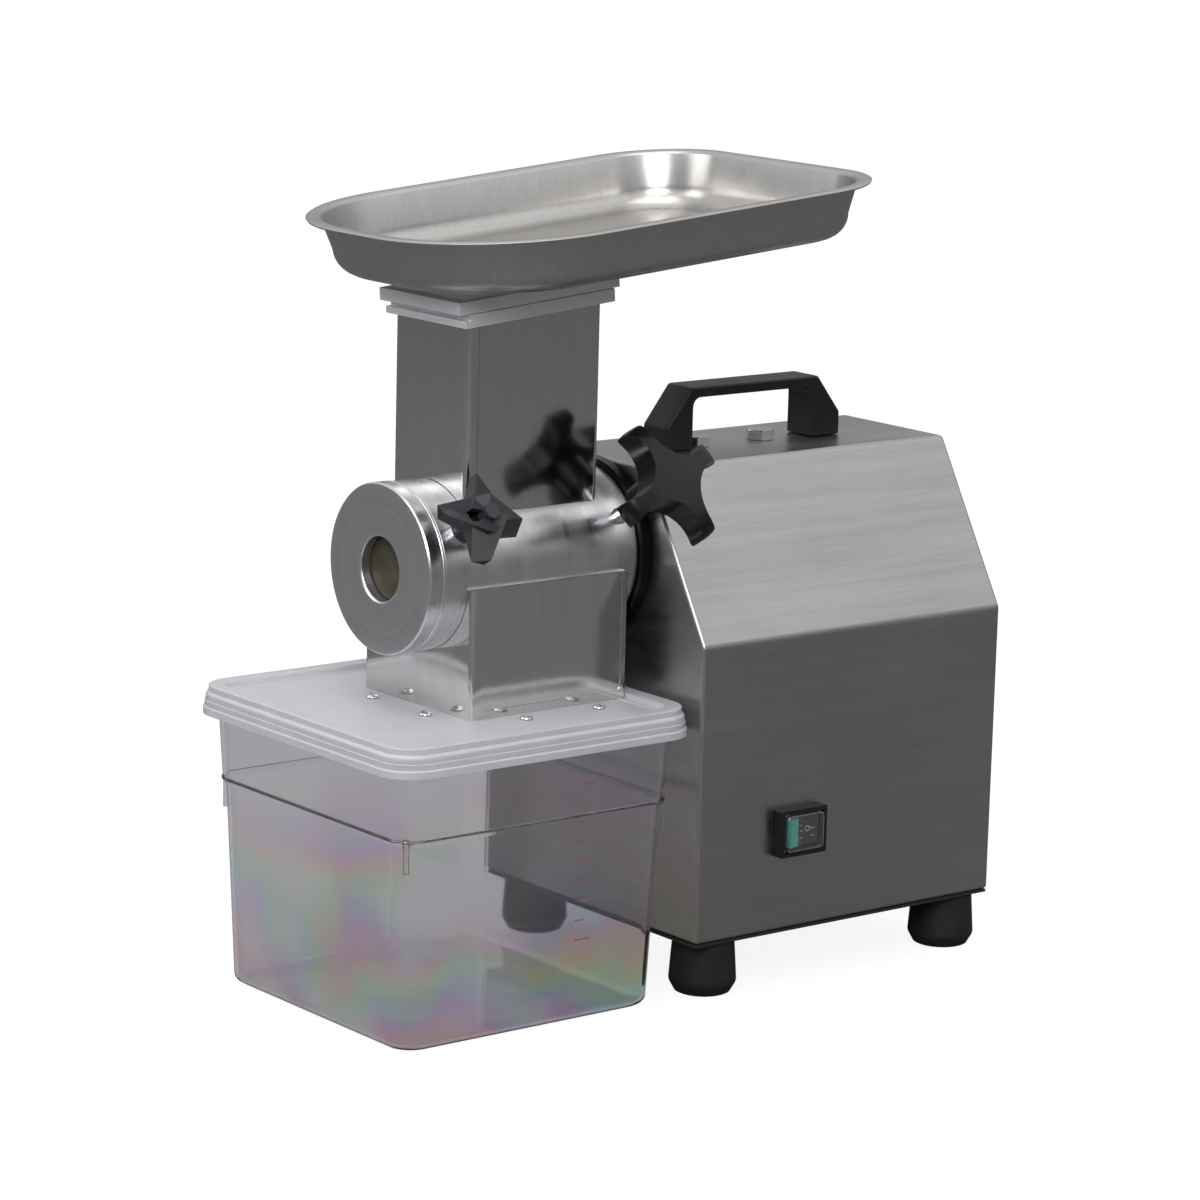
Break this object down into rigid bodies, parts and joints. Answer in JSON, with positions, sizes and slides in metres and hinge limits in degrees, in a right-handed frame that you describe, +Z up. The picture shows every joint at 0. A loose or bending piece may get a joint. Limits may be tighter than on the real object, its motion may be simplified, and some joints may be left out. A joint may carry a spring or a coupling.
{
  "type": "food grinder",
  "caption": "Countertop food grinder: sloping feed tray and square neck over a clamped barrel with a toothed drum, a motor housing with carrying handle, and a lidded container below.",
  "frame": {"origin": "on the standing surface, under the middle of the whole machine's bounding box", "axes": "+Z up, -Y towards the barrel's capped front end, +Y towards the inlet wall, +X towards the switch side"},
  "size_m": [0.239, 0.483, 0.5107],
  "materials": {
    "brushed_stainless": "brushed stainless steel sheet",
    "polished_stainless": "polished stainless steel sheet",
    "turned_aluminium": "fine turned aluminium",
    "satin_aluminium": "satin aluminium",
    "cast_aluminium": "plain casting",
    "ground_steel": "ground steel",
    "bright_screw": "bright plated",
    "black_plastic": "satin black",
    "gloss_black": "gloss black",
    "black_hub": "satin black",
    "black_rubber": "matt black",
    "black_paint": "satin black paint",
    "bush_plastic": "dark olive plastic",
    "green_rocker": "green-blue, glossy",
    "clear_cover": "clear",
    "clear_container": "clear polycarbonate",
    "milky_lid": "milky translucent plastic",
    "laminated_iron": "laminated iron"
  },
  "bodies": {
    "base": {"housing_shell": "brushed_stainless", "base_plate": "black_paint", "foot_front_left": "black_rubber", "foot_front_right": "black_rubber", "foot_rear_left": "black_rubber", "foot_rear_right": "black_rubber", "foot_screw_front_left": "bright_screw", "foot_screw_front_right": "bright_screw", "foot_screw_rear_left": "bright_screw", "foot_screw_rear_right": "bright_screw", "handle": "black_plastic", "handle_screw_front": "bright_screw", "handle_screw_rear": "bright_screw", "hanger_bolt_front": "bright_screw", "hanger_bolt_rear": "bright_screw", "switch_body": "black_plastic", "switch_cover": "clear_cover", "power_inlet": "black_plastic", "drive_hub": "black_hub", "shaft_seal": "black_rubber", "output_bearing_front": "ground_steel", "output_bearing_rear": "ground_steel", "gear_case": "cast_aluminium", "gear_cover": "cast_aluminium", "motor_case": "cast_aluminium", "stator_core": "laminated_iron", "motor_end_bell": "cast_aluminium", "run_capacitor": "black_paint"},
    "output": {"output_shaft": "ground_steel", "output_gear": "ground_steel"},
    "lay": {"lay_shaft": "ground_steel", "lay_wheel": "ground_steel"},
    "rotor": {"motor_shaft": "ground_steel", "rotor_core": "laminated_iron", "cooling_fan": "black_plastic"},
    "head": {"grinding_barrel": "turned_aluminium", "feed_neck": "polished_stainless", "neck_collar": "satin_aluminium", "discharge_chute": "polished_stainless", "container_lid": "milky_lid", "lid_screw_1": "bright_screw", "lid_screw_2": "bright_screw", "lid_screw_3": "bright_screw", "lid_screw_4": "bright_screw", "lid_screw_5": "bright_screw", "lid_screw_6": "bright_screw"},
    "drum": {"grinding_drum": "ground_steel", "drum_shaft": "ground_steel"},
    "cap": {"front_cap": "turned_aluminium", "cap_bush": "bush_plastic"},
    "star_screw": {"star_stud": "bright_screw"},
    "star_knob": {"star_knob": "black_plastic"},
    "clamp_screw": {"clamp_stud": "bright_screw"},
    "clamp_knob": {"clamp_knob": "gloss_black"},
    "tray": {"tray": "brushed_stainless", "tray_spout": "satin_aluminium"},
    "container": {"container": "clear_container"},
    "rocker": {"switch_rocker": "green_rocker"}
  },
  "joints": [
    {"name": "output_spin", "type": "hinge", "parent": "base", "child": "output", "pos_m": [0, 0, 0.2755], "axis": [0, 1, 0], "continuous": true},
    {"name": "lay_spin", "type": "hinge", "parent": "base", "child": "lay", "pos_m": [0, 0, 0.2215], "axis": [0, 1, 0], "continuous": true},
    {"name": "rotor_spin", "type": "hinge", "parent": "base", "child": "rotor", "pos_m": [0, 0, 0.17163], "axis": [0, 1, 0], "continuous": true},
    {"name": "head_slide", "type": "slide", "parent": "base", "child": "head", "axis": [0, -1, 0], "range_m": [0, 0.16]},
    {"name": "drum_spin", "type": "hinge", "parent": "head", "child": "drum", "pos_m": [0, 0, 0.2755], "axis": [0, 1, 0], "continuous": true},
    {"name": "cap_slide", "type": "slide", "parent": "head", "child": "cap", "axis": [0, -1, 0], "range_m": [0, 0.03]},
    {"name": "star_screw_travel", "type": "slide", "parent": "head", "child": "star_screw", "axis": [0.866, 0, 0.5], "range_m": [0, 0.00375]},
    {"name": "star_knob_turn", "type": "hinge", "parent": "star_screw", "child": "star_knob", "pos_m": [0, -0.1538, 0.2755], "axis": [0.866, 0, 0.5], "range_deg": [0, 1080]},
    {"name": "clamp_screw_travel", "type": "slide", "parent": "head", "child": "clamp_screw", "axis": [0.866, 0, 0.5], "range_m": [0, 0.0045]},
    {"name": "clamp_knob_turn", "type": "hinge", "parent": "clamp_screw", "child": "clamp_knob", "pos_m": [0, -0.0288, 0.2755], "axis": [0.866, 0, 0.5], "range_deg": [0, 1080]},
    {"name": "tray_lift", "type": "slide", "parent": "head", "child": "tray", "axis": [0, 0, 1], "range_m": [0, 0.08]},
    {"name": "container_drop", "type": "slide", "parent": "head", "child": "container", "axis": [0, 0, -1], "range_m": [0, 0.04]},
    {"name": "rocker_tilt", "type": "hinge", "parent": "base", "child": "rocker", "pos_m": [0.1112, 0.07, 0.1015], "axis": [0, 0, -1], "range_deg": [0, 16]}
  ],
  "couplings": [
    {"joint": "lay_spin", "follows": "output_spin", "ratio": -3.5},
    {"joint": "rotor_spin", "follows": "output_spin", "ratio": 9.8},
    {"joint": "drum_spin", "follows": "output_spin", "ratio": 1},
    {"joint": "star_knob_turn", "follows": "star_screw_travel", "rad_per_m": 5026.5},
    {"joint": "clamp_knob_turn", "follows": "clamp_screw_travel", "rad_per_m": 4188.8}
  ]
}
